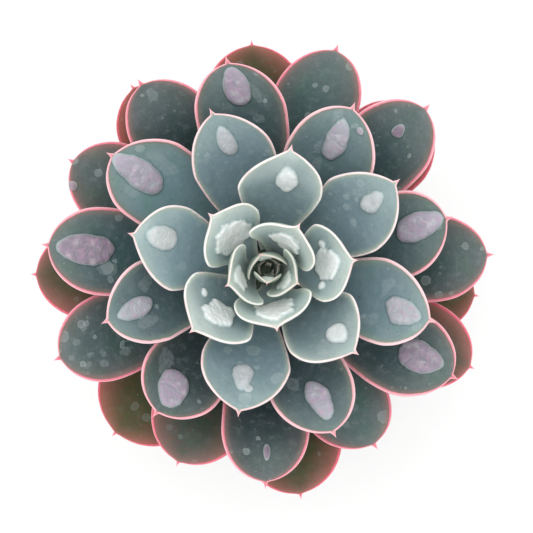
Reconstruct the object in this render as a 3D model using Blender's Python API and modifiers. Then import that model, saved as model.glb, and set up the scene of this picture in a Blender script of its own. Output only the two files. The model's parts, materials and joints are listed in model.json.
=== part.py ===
"""Potted succulent: a rosette of fleshy leaves on a short stem, rooted in soil in a plain round pot.

Lengths are in metres and +Z is up. The origin is the centre of the pot's flat underside.
Leaves are numbered by their place on the stem: place 0 is the innermost leaf of the bud, and each
later place is one turn of the growth spiral older, lower on the stem and lying flatter.
"""

from math import asin, atan2, cos, hypot, pi, radians, sin, sqrt

import bmesh
import bpy
from mathutils import Vector

MM = 0.001
CLEARANCE = 0.3 * MM
CREASE_ANGLE = radians(40)

# Pot: a tapered round wall with a thicker band at the rim, a flat floor and a small stepped foot.
POT_RIM_RADIUS = 52.5 * MM
POT_HEIGHT = 95.0 * MM
POT_FOOT_RADIUS = 36.0 * MM
POT_WALL = 2.4 * MM
POT_FLOOR = 3.2 * MM
RIM_BAND_HEIGHT = 13.0 * MM
RIM_BAND_STEP = 2.2 * MM
RIM_BAND_DRAFT = 0.6 * MM
FOOT_HEIGHT = 2.2 * MM
FOOT_INSET = 1.4 * MM
POT_EDGE_ROUNDING = 0.5 * MM
POT_SIDES = 48
DRAIN_HOLES = 4
DRAIN_HOLE_RADIUS = 4.5 * MM
DRAIN_RING_RADIUS = 20.0 * MM
DRAIN_HOLE_SIDES = 20

# Soil: fills the pot to a little below the rim and is slightly crowned around the stem.
SOIL_BELOW_RIM = 9.0 * MM
SOIL_CROWN = 2.5 * MM

# Stem: short and woody, buried at its foot and carrying every leaf on its sides.
STEM_DEPTH_IN_SOIL = 26.0 * MM
STEM_FOOT_RADIUS = 4.6 * MM
STEM_FOOT_ROUNDING = 2.0 * MM
STEM_SIDES = 20
STEM_TOP_PLACE = 4
STEM_TOP_RADIUS = 0.4 * MM

# Rosette: one leaf every golden angle, each rooted a little above the next older one.
ROSETTE_ABOVE_RIM = 6.5 * MM
PLACES = 53
FALLEN_PLACES = (37, 39, 42, 44, 48, 49, 51)
TURN = radians(137.508)
FIRST_AZIMUTH = radians(73.0)
MATURE_LENGTH = 61.0 * MM
MATURE_WIDTH = 27.0 * MM
MATURE_THICKNESS = 4.2 * MM
MATURE_CUP_SHARE = 0.138
CROWN_RADIUS = 8.2 * MM

# A mature leaf's thickness and the depth of its cup fit between it and the leaf that lies nearly
# straight below it, which is this many places older.
PLACES_TO_LEAF_BELOW = 13
ROOT_PITCH = (MATURE_THICKNESS + MATURE_CUP_SHARE * MATURE_WIDTH) / PLACES_TO_LEAF_BELOW

# Growth: how a leaf's size and pose change with its place, read between these places. Sizes are
# shares of a mature leaf's, angles are in degrees, and the root's radius is a share of the crown's.
GROWTH_PLACE = (0, 4, 8, 12, 16, 22, 28, 40, 52)
LENGTH_SHARE = (0.15, 0.28, 0.51, 0.67, 0.82, 0.9, 1, 1.015, 1)
WIDTH_SHARE = (0.07, 0.32, 0.74, 0.89, 0.93, 0.965, 1, 1, 1)
THICKNESS_OF_MATURE = (0.15, 0.33, 0.6, 0.74, 0.86, 0.95, 1, 1, 0.95)
ROOT_RADIUS_SHARE = (0.1, 0.28, 0.51, 0.66, 0.76, 0.85, 0.93, 0.975, 1)
LIFT_AT_ROOT = (84, 78, 56, 44, 33, 24, 14, 6, 1)
LIFT_AT_TIP = (92, 90, 82, 68, 52, 38, 26, 16, 12)
TIP_CURL = (0, 20, 35, 36, 32, 24, 18, 12, 5)
WRAP = (0.9, 0.84, 0.8, 0.74, 0.68, 0.61, 0.58, 0.54, 0.5)
CUP_OF_MATURE = (0, 0.11, 0.51, 0.76, 0.9, 1, 1, 0.93, 0.83)

# How single leaves depart from the law of growth, by place.
SWAY_DEG = {
    4: 21, 5: 13, 6: 5, 7: 12, 8: 3, 9: 2, 11: 5, 12: -4, 13: -4, 14: 5, 15: -3, 16: -1, 17: 1, 18: -11,
    19: 4, 20: -8, 21: -5, 22: 2, 23: -9, 24: 1, 25: -3, 26: 1, 27: 8, 28: -9, 30: 2, 31: -7, 32: 11,
    33: -12, 34: -4, 36: -12, 38: -2, 40: 2, 41: -14, 43: -1, 45: -12, 47: 3, 50: 7, 52: 3,
}
REACH = {
    4: 1.25, 5: 0.8, 6: 1.06, 7: 1.08, 8: 1.13, 9: 0.89, 11: 0.92, 12: 0.94, 13: 1.05, 14: 0.93,
    17: 0.91, 20: 0.96, 22: 0.94, 24: 0.94, 25: 0.88, 29: 1.03, 30: 0.96, 34: 1.03, 35: 0.91,
    36: 0.97, 38: 0.92, 45: 0.94, 46: 0.97,
}
BREADTH = {
    9: 1.06, 12: 1.06, 17: 1.07, 21: 1.07, 23: 1.05, 26: 1.05, 38: 1.1, 41: 1.05, 43: 1.15, 46: 1.25,
    47: 1.15, 50: 1.12, 52: 1.05,
}
TIP_SKEW = {
    13: -1, 14: 2, 15: -1, 16: 2, 17: 1.5, 18: 3, 19: -2, 20: 3, 21: 2, 22: 2, 23: 3, 24: 2, 26: 2.5,
    27: 2, 31: 1, 34: -2, 35: 2,
}
EXTRA_LIFT_DEG = {
    8: 5, 21: -0.4, 24: -0.4, 26: -1, 27: -0.6, 28: -0.6, 29: -0.6, 30: -0.6, 31: -2.6, 32: -2,
    33: -2.2, 34: -2.2, 35: -1.6, 36: -4.8, 38: -0.8, 40: -0.6, 41: -6, 43: -2.5, 45: -8, 46: -3.6,
    47: -0.7, 50: -2.2, 52: -2,
}

# Blade: the outline, thickness and margin that every leaf shares.
BLADE_STATIONS = (0, 0.13, 0.30, 0.47, 0.62, 0.75, 0.86, 0.935, 0.972)
BLADE_SEGMENTS = 10
ROOT_HALF_WIDTH_OF_RADIUS = 0.42
WIDEST_STATION = 0.71
SHOULDER_STATION = 0.968
MARGIN_HALF_THICKNESS = 0.45 * MM
POINT_HALF_WIDTH = 1.1 * MM
POINT_START = 0.95
CURL_START = 0.86
SKEW_START = 0.5
THICKNESS_STATION = (0, 0.12, 0.45, 0.75, 0.9, 0.97, 1)
THICKNESS_SHARE = (0.54, 0.68, 1, 0.9, 0.6, 0.35, 0.2)
MIDLINE_STEPS = 200

# Colours by age of leaf, then the other pieces.
COLOUR_PLACE = (0, 8, 16, 28, 38, 52)
LEAF_RED = (0.50, 0.46, 0.26, 0.13, 0.12, 0.16)
LEAF_GREEN = (0.60, 0.58, 0.38, 0.22, 0.15, 0.11)
LEAF_BLUE = (0.50, 0.54, 0.38, 0.24, 0.12, 0.07)
LEAF_ROUGHNESS = 0.55
POT_COLOUR = (0.80, 0.80, 0.79)
POT_ROUGHNESS = 0.38
SOIL_COLOUR = (0.05, 0.035, 0.024)
SOIL_ROUGHNESS = 0.95
STEM_COLOUR = (0.22, 0.16, 0.09)
STEM_ROUGHNESS = 0.8


def clear_scene():
    for item in list(bpy.data.objects):
        bpy.data.objects.remove(item, do_unlink=True)


def new_collection(name, shown=True):
    collection = bpy.data.collections.new(name)
    bpy.context.scene.collection.children.link(collection)
    collection.hide_render = not shown
    return collection


def principled(name, colour, roughness):
    material = bpy.data.materials.new(name)
    material.use_nodes = True
    shader = material.node_tree.nodes["Principled BSDF"]
    shader.inputs["Base Color"].default_value = (*colour, 1)
    shader.inputs["Roughness"].default_value = roughness
    material.diffuse_color = (*colour, 1)
    return material


def smooth(item):
    item.data.shade_smooth()
    item.data.set_sharp_from_angle(angle=CREASE_ANGLE)


def settle(item):
    """Puts the modifiers' result in the object and shades it smooth, except across its corners."""
    graph = bpy.context.evaluated_depsgraph_get()
    result = bpy.data.meshes.new_from_object(item.evaluated_get(graph))
    item.modifiers.clear()
    item.data = result
    smooth(item)


def piece(name, shape, collection, material=None):
    """An object holding this bmesh, which is freed."""
    mesh = bpy.data.meshes.new(name)
    shape.to_mesh(mesh)
    shape.free()
    item = bpy.data.objects.new(name, mesh)
    collection.objects.link(item)
    if material:
        mesh.materials.append(material)
    return item


def turned(name, profile, sides, collection, material=None):
    """A solid turned about the Z axis from a profile that starts and ends on the axis."""
    shape = bmesh.new()
    points = [shape.verts.new((radius, 0, height)) for radius, height in profile]
    for start, end in zip(points, points[1:]):
        shape.edges.new((start, end))
    item = piece(name, shape, collection, material)
    screw = item.modifiers.new("turn", "SCREW")
    screw.steps = sides
    screw.render_steps = sides
    screw.use_merge_vertices = True
    screw.merge_threshold = 0.00001
    screw.use_smooth_shade = True
    screw.use_normal_calculate = True
    return item


def cut(item, cutter):
    cutter.hide_render = True
    cutter.display_type = "WIRE"
    boolean = item.modifiers.new("cut", "BOOLEAN")
    boolean.operation = "DIFFERENCE"
    boolean.solver = "EXACT"
    boolean.object = cutter


def between(place, places, values):
    """The value at this place, read in a straight line between the two places around it."""
    if place <= places[0]:
        return values[0]
    for index in range(1, len(places)):
        if place <= places[index]:
            share = (place - places[index - 1]) / (places[index] - places[index - 1])
            return values[index - 1] + share * (values[index] - values[index - 1])
    return values[-1]


def grown(values, place):
    return between(place, GROWTH_PLACE, values)


def root_radius(place):
    return CROWN_RADIUS * grown(ROOT_RADIUS_SHARE, place)


def root_height(place):
    return POT_HEIGHT + ROSETTE_ABOVE_RIM + ROOT_PITCH * (PLACES - 1 - place)


def share_of(value, start, end):
    """How far the value is from start to end, held between 0 and 1."""
    return min(max((value - start) / (end - start), 0), 1)


class Blade:
    """One leaf's midline and cross-sections, from its place on the stem."""

    def __init__(self, place):
        self.azimuth = FIRST_AZIMUTH - TURN * place + radians(SWAY_DEG.get(place, 0))
        self.length = MATURE_LENGTH * grown(LENGTH_SHARE, place) * REACH.get(place, 1)
        width = MATURE_WIDTH * grown(WIDTH_SHARE, place) * BREADTH.get(place, 1)
        self.half_width = width / 2
        self.root_half_width = ROOT_HALF_WIDTH_OF_RADIUS * root_radius(place)
        self.thickness = MATURE_THICKNESS * grown(THICKNESS_OF_MATURE, place)
        self.skew = TIP_SKEW.get(place, 0) * MM
        self.wrap = grown(WRAP, place)
        self.cupping = 8 * MATURE_CUP_SHARE * grown(CUP_OF_MATURE, place) / width
        self.lift_at_root = radians(grown(LIFT_AT_ROOT, place) + EXTRA_LIFT_DEG.get(place, 0))
        self.lift_at_tip = radians(grown(LIFT_AT_TIP, place) + EXTRA_LIFT_DEG.get(place, 0))
        self.curl = radians(grown(TIP_CURL, place))
        self.midline = [(root_radius(place), root_height(place))]
        for step in range(MIDLINE_STEPS):
            lift = self.lift((step + 0.5) / MIDLINE_STEPS)
            radius, height = self.midline[-1]
            stride = self.length / MIDLINE_STEPS
            self.midline.append((radius + stride * cos(lift), height + stride * sin(lift)))

    def lift(self, station):
        """The midline's angle above level: it bends up along the blade and curls back at the tip."""
        bend = (self.lift_at_tip - self.lift_at_root) * station
        return self.lift_at_root + bend - self.curl * share_of(station, CURL_START, 1) ** 1.5

    def centre(self, station):
        index = min(int(station * MIDLINE_STEPS), MIDLINE_STEPS - 1)
        share = station * MIDLINE_STEPS - index
        start, end = self.midline[index], self.midline[index + 1]
        return start[0] + share * (end[0] - start[0]), start[1] + share * (end[1] - start[1])

    def half_width_at(self, station):
        """Narrow at the root, widest past the middle, round at the shoulder, with a small point."""
        if station < WIDEST_STATION:
            swell = sin(pi / 2 * station / WIDEST_STATION) ** 1.35
            return self.root_half_width + (self.half_width - self.root_half_width) * swell
        closing = share_of(station, WIDEST_STATION, SHOULDER_STATION)
        rounded = self.half_width * (1 - closing**2.1) ** 0.56
        point = POINT_HALF_WIDTH * share_of(station, 1, POINT_START) ** 1.4 if station > 0.9 else 0
        return max(rounded, point)

    def surface(self, station, around):
        """A point of the skin: around runs from one margin (0) over the upper face to the other (pi)."""
        lift = self.lift(station)
        radius, height = self.centre(station)
        half_width = self.half_width_at(station)
        across = cos(around)
        thickness = self.thickness * between(station, THICKNESS_STATION, THICKNESS_SHARE)
        thickness = min(thickness, 2 * half_width)
        margin = MARGIN_HALF_THICKNESS * sqrt(max(1 - across**2, 0))
        if sin(around) >= 0:
            depth = margin
        else:
            belly = (thickness - MARGIN_HALF_THICKNESS) * (1 - abs(across) ** 2.2) ** 0.8
            depth = -belly - margin
        bend_radius = 1 / max(self.wrap * max(sin(lift), 0) / radius + self.cupping, 1e-6)
        turn = half_width * across / bend_radius
        sideways = (bend_radius - depth) * sin(turn)
        sideways += self.skew * share_of(station, SKEW_START, 1) ** 2
        inward = bend_radius - (bend_radius - depth) * cos(turn)
        outward = radius - inward * sin(lift)
        rise = height + inward * cos(lift)
        east = outward * cos(self.azimuth) - sideways * sin(self.azimuth)
        north = outward * sin(self.azimuth) + sideways * cos(self.azimuth)
        return Vector((east, north, rise))


def leaf_colour(place):
    return tuple(between(place, COLOUR_PLACE, band) for band in (LEAF_RED, LEAF_GREEN, LEAF_BLUE))


def make_leaf(place, collection):
    """A closed ball whose poles become the root and the tip, and whose rings become the stations."""
    name = f"leaf_{place:02d}"
    blade = Blade(place)
    rings = len(BLADE_STATIONS)
    shape = bmesh.new()
    bmesh.ops.create_uvsphere(shape, u_segments=BLADE_SEGMENTS, v_segments=rings + 1, radius=1)
    for vert in shape.verts:
        spread = hypot(vert.co.x, vert.co.y)
        if spread < 1e-4:
            upper_root = blade.surface(0, pi / 2)
            lower_root = blade.surface(0, -pi / 2)
            tip = blade.surface(1, pi / 2)
            vert.co = (upper_root + lower_root) / 2 if vert.co.z > 0 else tip
        else:
            polar = pi / 2 - asin(max(min(vert.co.z, 1), -1))
            ring = round(polar / pi * (rings + 1)) - 1
            vert.co = blade.surface(BLADE_STATIONS[ring], atan2(vert.co.y, vert.co.x))
    bmesh.ops.recalc_face_normals(shape, faces=shape.faces)
    material = principled(name, leaf_colour(place), LEAF_ROUGHNESS)
    smooth(piece(name, shape, collection, material))


def pot_outer_radius(height):
    """The outside of the pot's wall below the rim band."""
    top = POT_RIM_RADIUS - RIM_BAND_STEP
    return POT_FOOT_RADIUS + (top - POT_FOOT_RADIUS) * height / POT_HEIGHT


def pot_inner_radius(height):
    return pot_outer_radius(height) - POT_WALL


def make_pot(collection, cutters):
    band_foot = POT_HEIGHT - RIM_BAND_HEIGHT
    foot_radius = POT_FOOT_RADIUS - FOOT_INSET
    profile = (
        (0, POT_FLOOR),
        (pot_inner_radius(POT_FLOOR), POT_FLOOR),
        (pot_inner_radius(POT_HEIGHT), POT_HEIGHT),
        (POT_RIM_RADIUS, POT_HEIGHT),
        (POT_RIM_RADIUS - RIM_BAND_DRAFT, band_foot),
        (pot_outer_radius(band_foot), band_foot),
        (pot_outer_radius(FOOT_HEIGHT), FOOT_HEIGHT),
        (foot_radius, FOOT_HEIGHT),
        (foot_radius, 0),
        (0, 0),
    )
    pot = turned("pot", profile, POT_SIDES, collection, principled("pot", POT_COLOUR, POT_ROUGHNESS))
    rounding = pot.modifiers.new("edges", "BEVEL")
    rounding.width = POT_EDGE_ROUNDING
    rounding.segments = 2
    rounding.limit_method = "ANGLE"
    rounding.angle_limit = CREASE_ANGLE
    drills = bmesh.new()
    for hole in range(DRAIN_HOLES):
        made = bmesh.ops.create_cone(
            drills,
            cap_ends=True,
            segments=DRAIN_HOLE_SIDES,
            radius1=DRAIN_HOLE_RADIUS,
            radius2=DRAIN_HOLE_RADIUS,
            depth=4 * POT_FLOOR,
        )
        bearing = 2 * pi * (hole + 0.5) / DRAIN_HOLES
        centre = Vector((DRAIN_RING_RADIUS * cos(bearing), DRAIN_RING_RADIUS * sin(bearing), 0))
        bmesh.ops.translate(drills, verts=made["verts"], vec=centre)
    cut(pot, piece("drain_drills", drills, cutters))
    settle(pot)


def stem_profile(grow):
    """Radius and height down the stem, grown outward by this much: leaf roots first, then the foot."""
    profile = [(0, root_height(STEM_TOP_PLACE - 1) + grow)]
    profile.append((STEM_TOP_RADIUS + grow, root_height(STEM_TOP_PLACE - 1) + grow))
    for place in GROWTH_PLACE:
        if place >= STEM_TOP_PLACE:
            lift = radians(grown(LIFT_AT_ROOT, place))
            skin = MARGIN_HALF_THICKNESS * sin(lift) + CLEARANCE
            profile.append((root_radius(place) - skin + grow, root_height(place)))
    foot = soil_top(0) - STEM_DEPTH_IN_SOIL
    profile.append((STEM_FOOT_RADIUS + grow, foot + STEM_FOOT_ROUNDING))
    profile.append((STEM_FOOT_RADIUS - STEM_FOOT_ROUNDING + grow, foot - grow))
    profile.append((0, foot - grow))
    return profile


def soil_top(radius):
    """The soil's surface, highest at the stem."""
    edge_height = POT_HEIGHT - SOIL_BELOW_RIM
    return edge_height + SOIL_CROWN * (1 - (radius / pot_inner_radius(edge_height)) ** 2)


def make_stem(collection):
    material = principled("stem", STEM_COLOUR, STEM_ROUGHNESS)
    settle(turned("stem", stem_profile(0), STEM_SIDES, collection, material))


def make_soil(collection, cutters):
    edge_height = POT_HEIGHT - SOIL_BELOW_RIM
    edge_radius = pot_inner_radius(edge_height) - CLEARANCE
    bottom = POT_FLOOR + POT_EDGE_ROUNDING + CLEARANCE
    profile = [(edge_radius * share, soil_top(edge_radius * share)) for share in (0, 0.35, 0.7, 1)]
    profile.append((pot_inner_radius(bottom) - CLEARANCE, bottom))
    profile.append((0, bottom))
    soil = turned("soil", profile, POT_SIDES, collection, principled("soil", SOIL_COLOUR, SOIL_ROUGHNESS))
    cut(soil, turned("stem_socket", stem_profile(CLEARANCE), STEM_SIDES, cutters))
    settle(soil)


def build():
    clear_scene()
    plant = new_collection("potted_succulent")
    cutters = new_collection("cutters", shown=False)
    make_pot(plant, cutters)
    make_soil(plant, cutters)
    make_stem(plant)
    for place in range(PLACES):
        if place not in FALLEN_PLACES:
            make_leaf(place, plant)


build()
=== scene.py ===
"""Looks of the potted succulent: every leaf, the stem, the soil and the pot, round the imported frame.

Lengths in this script are in millimetres until a mesh is made, which is in metres. +Z is up and the
origin is the centre of the pot's underside. A leaf's place is its turn of the growth spiral.
"""

import json
from math import cos, pi, radians, sin
from types import SimpleNamespace

import bmesh
import bpy
import numpy as np
from mathutils import Matrix, Vector

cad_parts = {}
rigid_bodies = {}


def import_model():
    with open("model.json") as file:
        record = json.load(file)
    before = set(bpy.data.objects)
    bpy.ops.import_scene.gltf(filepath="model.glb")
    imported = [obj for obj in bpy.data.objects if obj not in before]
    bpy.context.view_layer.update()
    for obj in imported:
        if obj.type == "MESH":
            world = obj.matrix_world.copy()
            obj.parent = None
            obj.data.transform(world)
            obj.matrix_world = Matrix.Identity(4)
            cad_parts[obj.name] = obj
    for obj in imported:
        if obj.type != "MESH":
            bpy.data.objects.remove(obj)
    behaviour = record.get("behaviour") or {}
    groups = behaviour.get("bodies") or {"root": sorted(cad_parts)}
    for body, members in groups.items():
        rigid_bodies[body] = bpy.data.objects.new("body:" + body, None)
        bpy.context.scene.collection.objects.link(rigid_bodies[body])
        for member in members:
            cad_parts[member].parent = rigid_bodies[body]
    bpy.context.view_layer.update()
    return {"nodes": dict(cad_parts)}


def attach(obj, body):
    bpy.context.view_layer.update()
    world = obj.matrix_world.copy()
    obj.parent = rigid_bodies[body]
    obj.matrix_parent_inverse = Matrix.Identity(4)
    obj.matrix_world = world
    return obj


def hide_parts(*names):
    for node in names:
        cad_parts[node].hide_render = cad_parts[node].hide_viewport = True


MM = 0.001
for item in list(bpy.data.objects):
    bpy.data.objects.remove(item, do_unlink=True)
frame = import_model()

# Growth law, as in the CAD part. Young leaves depart from it a little, where the photograph shows them
# longer, broader, shorter or folded in another way.
POT_HEIGHT = 95.0
ROSETTE_ABOVE_RIM = 6.5
PLACES = 53
FALLEN_PLACES = (37, 39, 42, 44, 48, 49, 51)
TURN = radians(137.508)
FIRST_AZIMUTH = radians(73.0)
MATURE_LENGTH = 61.0
MATURE_WIDTH = 27.0
MATURE_THICKNESS = 4.2
MATURE_CUP_SHARE = 0.138
CROWN_RADIUS = 8.2
PLACES_TO_LEAF_BELOW = 13
ROOT_PITCH = (MATURE_THICKNESS + MATURE_CUP_SHARE * MATURE_WIDTH) / PLACES_TO_LEAF_BELOW
GROWTH_PLACE = (0, 4, 8, 12, 16, 22, 28, 40, 52)
LENGTH_SHARE = (0.15, 0.28, 0.51, 0.67, 0.82, 0.9, 1, 1.015, 1)
WIDTH_SHARE = (0.07, 0.32, 0.74, 0.89, 0.93, 0.965, 1, 1, 1)
THICKNESS_OF_MATURE = (0.15, 0.33, 0.6, 0.74, 0.86, 0.95, 1, 1, 0.95)
ROOT_RADIUS_SHARE = (0.1, 0.28, 0.51, 0.66, 0.76, 0.85, 0.93, 0.975, 1)
LIFT_AT_ROOT = (84, 78, 56, 44, 33, 24, 14, 6, 1)
LIFT_AT_TIP = (92, 90, 82, 68, 52, 38, 26, 16, 12)
TIP_CURL = (0, 20, 35, 36, 32, 24, 18, 12, 5)
WRAP = (0.75, 0.85, 0.85, 0.78, 0.68, 0.61, 0.58, 0.54, 0.5)
CUP_OF_MATURE = (0, 0.11, 0.51, 0.76, 0.9, 1, 1, 0.93, 0.83)

# Corrections that put single leaves where they are seen, by place. Sway and extra lift are in degrees,
# the tip's skew is in millimetres and the others are shares. A plus is counter-clockwise from above.
SWAY_DEG = {
    4: 21, 5: 4, 6: 9, 7: 6, 8: 3, 9: 2, 11: 5, 12: -4, 13: -4, 14: 5, 15: -3, 16: -1, 17: 1, 18: -11,
    19: 4, 20: -8, 21: -5, 22: 2, 23: -9, 24: 1, 25: -3, 26: 1, 27: 8, 28: -9, 30: 2, 31: -7, 32: 11,
    33: -12, 34: -4, 36: -12, 38: -2, 40: 2, 41: -14, 43: -1, 45: -12, 47: 3, 50: 7, 52: 3,
}
REACH = {
    0: 0.8, 1: 0.75, 2: 0.72, 3: 0.7, 4: 1.25, 5: 0.8, 6: 1.06, 7: 1.08, 8: 1.13, 9: 0.89, 11: 0.92,
    12: 0.94, 13: 1.05, 14: 0.93, 17: 0.91, 20: 0.96, 22: 0.94, 24: 0.94, 25: 0.88, 29: 1.03, 30: 0.96,
    34: 1.03, 35: 0.91, 36: 0.97, 38: 0.92, 45: 0.94, 46: 0.97,
}
BREADTH = {
    5: 1.35, 6: 1.18, 7: 1.2, 8: 1.14, 9: 1.14, 12: 1.06, 17: 1.07, 21: 1.07, 23: 1.05, 26: 1.05,
    38: 1.1, 41: 1.05, 43: 1.15, 46: 1.25, 47: 1.15, 50: 1.12, 52: 1.05,
}
WRAP_SHARE = {4: 0.65, 5: 0.6}
TIP_SKEW = {
    5: 1, 6: -0.8, 7: 1.4, 13: -1, 14: 2, 15: -1, 16: 2, 17: 1.5, 18: 3, 19: -2, 20: 3, 21: 2, 22: 2,
    23: 3, 24: 2, 26: 2.5, 27: 2, 31: 1, 34: -2, 35: 2,
}
EXTRA_LIFT_DEG = {
    4: 5.5, 5: 9, 6: 4, 7: 3.5, 8: 8, 9: 2, 10: 1, 21: -0.4, 24: -0.4, 26: -1, 27: -0.6, 28: -0.6,
    29: -0.6, 30: -0.6, 31: -2.6, 32: -2, 33: -2.2, 34: -2.2, 35: -1.6, 36: -4.8, 38: -0.8, 40: -0.6,
    41: -6, 43: -2.5, 45: -8, 46: -3.6, 47: -0.7, 50: -2.2, 52: -2,
}

# A blade's outline. Stations are shares of its length, from the root.
MIDLINE_STEPS = 400
ROOT_HALF_WIDTH_OF_RADIUS = 0.42
SWELL_POWER = 1.35
WIDEST_STATION = 0.71
SHOULDER_STATION = 0.968
SHOULDER_POWERS = (2.1, 0.56)
CURL_START = 0.86
CURL_POWER = 1.5
SKEW_START = 0.5
MARGIN_WAVE = 0.16
MARGIN_WAVE_LENGTH = 7

# The fine point. It levels off over the flare, and stands proud of the shoulders by place.
POINT_HALF_WIDTH = 0.95
POINT_LENGTH = 2.6
POINT_POWER = 1.45
POINT_FULL_HALF_WIDTH = 7
POINT_LIFT = radians(12)
POINT_PROUD_PLACE = (34, 42)
POINT_PROUD = (2.5, 1.2)
FLARE_START = 0.85
FLARE_END = 0.965

# The midline near the point of a young leaf stands out from the rest of the blade, like a spout.
SPOUT_PLACE = (0, 4, 12, 24)
SPOUT = (0.4, 1.7, 1.5, 0.3)
SPOUT_WIDTH = 2.2
SPOUT_SOFTNESS = 0.5
SPOUT_START = 0.66
SPOUT_END = 0.98

# The margin turns a corner at the widest place of a young leaf, sharply on its counter-clockwise side.
CORNER_STATION = 0.62
CORNER_BREADTH = 1.14
CORNER_SHARPNESS = 13
CORNER_POWERS = (1.15, 0.85)
CORNER_PLACE = (0, 4, 8, 13, 17, 24)
CORNER_AHEAD = (0.3, 0.7, 1.0, 0.8, 0.5, 0)
CORNER_BEHIND = (0.2, 0.25, 0.3, 0.35, 0.2, 0)

# How far the section of a young blade flattens out towards its end.
FLATTEN_PLACE = (0, 5, 8, 9, 13, 20)
FLATTEN = (0, 0, 0.5, 0.65, 0.6, 0)
FLATTEN_START = 0.45
FLATTEN_END = 0.92

# Half thickness of the margin by place, and share of the thickness by station. A young leaf's end is thin.
LIP_PLACE = (0, 6, 12, 20, 52)
LIP = (0.16, 0.22, 0.3, 0.38, 0.42)
MARGIN_ROUNDING = 0.7
THICKNESS_STATION = (0, 0.12, 0.45, 0.75, 0.9, 0.97, 1)
THICKNESS_SHARE = (0.54, 0.68, 1, 0.9, 0.6, 0.35, 0.2)
YOUNG_THICKNESS_SHARE = (0.54, 0.68, 0.9, 0.6, 0.3, 0.18, 0.12)
YOUNG_TO_GROWN_PLACE = (9, 20)

# Rings and columns of a leaf's mesh: with a growth taller than this, without one, and in the closed bud.
FINE_MESH = (132, 88)
FINE_FROM_GROWTH_HEIGHT = 0.5
PLAIN_MESH = (84, 48)
BUD_MESH = (40, 24)
BUD_PLACES = 4
LAST_STATION = 0.9985

# Raised growths on the upper faces: station along the leaf, offset to the side, length, width, tilt in
# degrees, height, roughness of the outline and depth of the folds.
GROWTHS = {
    4: [(0.74, 0.2, 5, 3.8, 0, 0.8, 0.2, 0.2)],
    5: [(0.7, -0.6, 5, 4.4, 0, 0.8, 0.2, 0.2)],
    6: [(0.58, -1.4, 11, 6.5, 0, 1.1, 0.3, 0.3)],
    7: [(0.57, 0, 14, 8, 0, 1.3, 0.35, 0.3)],
    8: [(0.52, -0.2, 15, 10, 0, 1.5, 0.32, 0.4)],
    9: [(0.6, 0, 13, 12.4, 0, 1.5, 0.3, 0.4)],
    10: [(0.51, 0.4, 16, 13.5, 15, 1.6, 0.3, 0.5)],
    11: [(0.61, -0.4, 13.5, 9.7, 0, 1.7, 0.26, 0.45), (0.55, -6.6, 3.2, 3, 0, 1.2, 0.1, 0.2),
         (0.59, 5.7, 3, 3, 0, 1.1, 0.1, 0.2)],
    12: [(0.6, 1, 13, 9, -20, 1.7, 0.34, 0.4), (0.59, -6.4, 3, 3, 0, 1.1, 0.1, 0.2)],
    13: [(0.69, -1.4, 10.5, 6.5, 0, 2.1, 0.24, 0.3)],
    14: [(0.74, 1.4, 8.5, 6.5, 0, 2.0, 0.14, 0.25)],
    15: [(0.74, -1.9, 13, 7.2, 0, 2.1, 0.1, 0.25)],
    16: [(0.76, 0, 9.5, 5.5, 0, 1.9, 0.16, 0.25)],
    17: [(0.7, 0, 10, 6, 0, 2.0, 0.22, 0.3), (0.78, 2.2, 3, 3, 0, 0.8, 0.1, 0.1)],
    18: [(0.77, 0, 11, 5.4, 0, 1.9, 0.06, 0.2)],
    19: [(0.79, -0.9, 12.5, 8, 0, 2.1, 0.14, 0.3)],
    20: [(0.77, 0.5, 13, 6.2, 0, 2.0, 0.1, 0.25)],
    21: [(0.76, 0.5, 14.5, 6.8, 0, 2.1, 0.12, 0.3), (0.88, -4.6, 2.4, 2.4, 0, 0.5, 0.1, 0.1)],
    22: [(0.75, 1, 14, 7, 0, 2.1, 0.1, 0.25)],
    23: [(0.79, 0.5, 19, 8.5, -5, 2.3, 0.08, 0.25)],
    24: [(0.8, 1, 15.5, 8.5, 0, 2.3, 0.1, 0.25)],
    25: [(0.79, -0.5, 12.5, 9.5, 25, 2.2, 0.12, 0.3)],
    26: [(0.84, -0.5, 12.5, 8, 0, 2.1, 0.08, 0.2)],
    27: [(0.78, 1, 14.5, 9.5, 0, 2.2, 0.1, 0.3)],
    28: [(0.78, 0, 17.8, 9.4, 0, 2.2, 0.08, 0.3)],
    29: [(0.8, 1, 4.6, 3.6, 0, 0.8, 0.15, 0.1)],
    30: [(0.81, 0.5, 5.4, 2.2, 0, 0.7, 0.1, 0.1)],
    36: [(0.91, 6.4, 3, 3, 0, 0.5, 0.1, 0.1)],
}

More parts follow.
